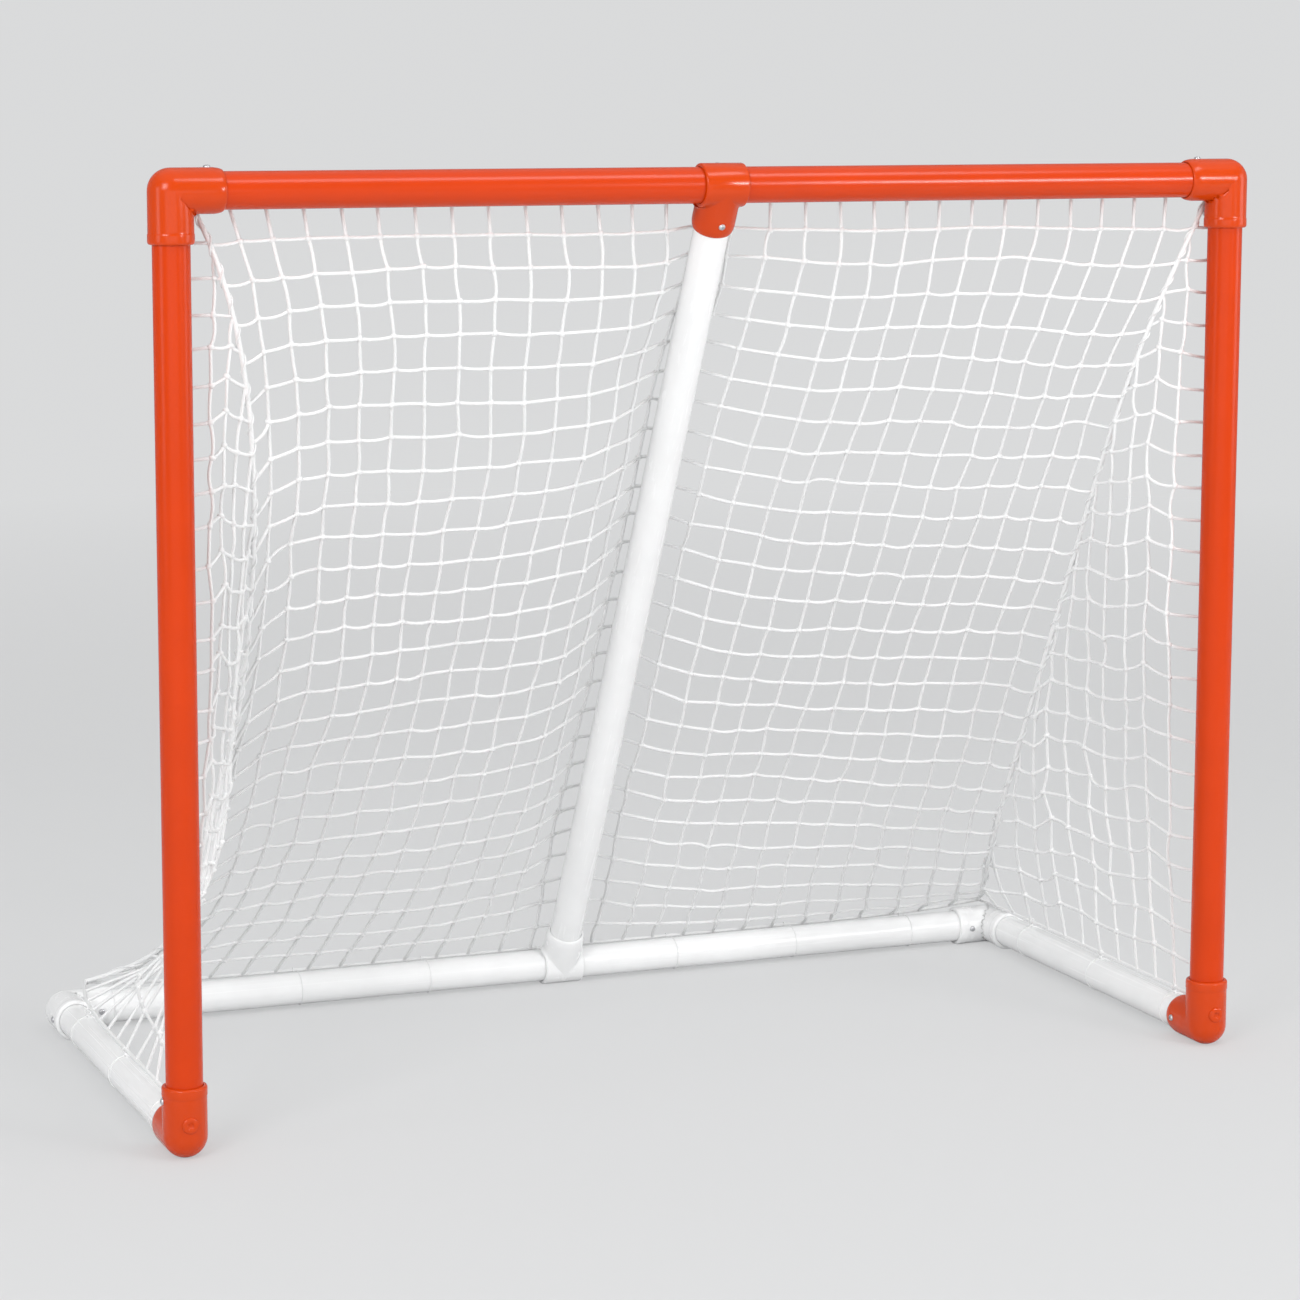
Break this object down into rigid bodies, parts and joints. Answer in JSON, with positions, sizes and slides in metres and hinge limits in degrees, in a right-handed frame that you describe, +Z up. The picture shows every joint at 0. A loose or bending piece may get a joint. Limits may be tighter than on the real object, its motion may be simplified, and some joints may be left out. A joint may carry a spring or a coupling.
{
  "type": "hockey goal net",
  "caption": "Free-standing street hockey goal: push-fit plastic tube frame with orange posts and crossbar, white base and centre support, and a laced square-mesh cord net",
  "frame": {"origin": "middle of the box round the goal, on the floor", "axes": "+X along the crossbar to the right as seen from the front, +Y to the back of the goal, +Z up"},
  "size_m": [1.376, 0.6456, 1.111],
  "materials": {
    "orange_tube": "gloss extruded tube",
    "orange_fitting": "gloss moulded",
    "white_tube": "satin gloss extruded tube",
    "white_fitting": "satin gloss moulded",
    "screw_steel": "zinc plated",
    "net_cord": "twisted polyester cord",
    "lacing_cord": "braided cord",
    "hook_plastic": "moulded"
  },
  "bodies": {
    "root": {"left_post": "orange_tube", "right_post": "orange_tube", "crossbar": "orange_tube", "left_base_tube": "white_tube", "right_base_tube": "white_tube", "rear_bar": "white_tube", "centre_support": "white_tube", "top_left_elbow": "orange_fitting", "top_right_elbow": "orange_fitting", "bottom_left_elbow": "orange_fitting", "bottom_right_elbow": "orange_fitting", "rear_left_elbow": "white_fitting", "rear_right_elbow": "white_fitting", "crossbar_tee": "orange_fitting", "rear_tee": "white_fitting", "socket_screws": "screw_steel", "back_net": "net_cord", "left_side_net": "net_cord", "right_side_net": "net_cord", "left_corner_lacing": "lacing_cord", "right_corner_lacing": "lacing_cord", "crossbar_hooks": "hook_plastic", "left_post_hooks": "hook_plastic", "right_post_hooks": "hook_plastic", "rear_bar_ties": "lacing_cord", "left_base_ties": "lacing_cord", "right_base_ties": "lacing_cord"}
  },
  "joints": []
}
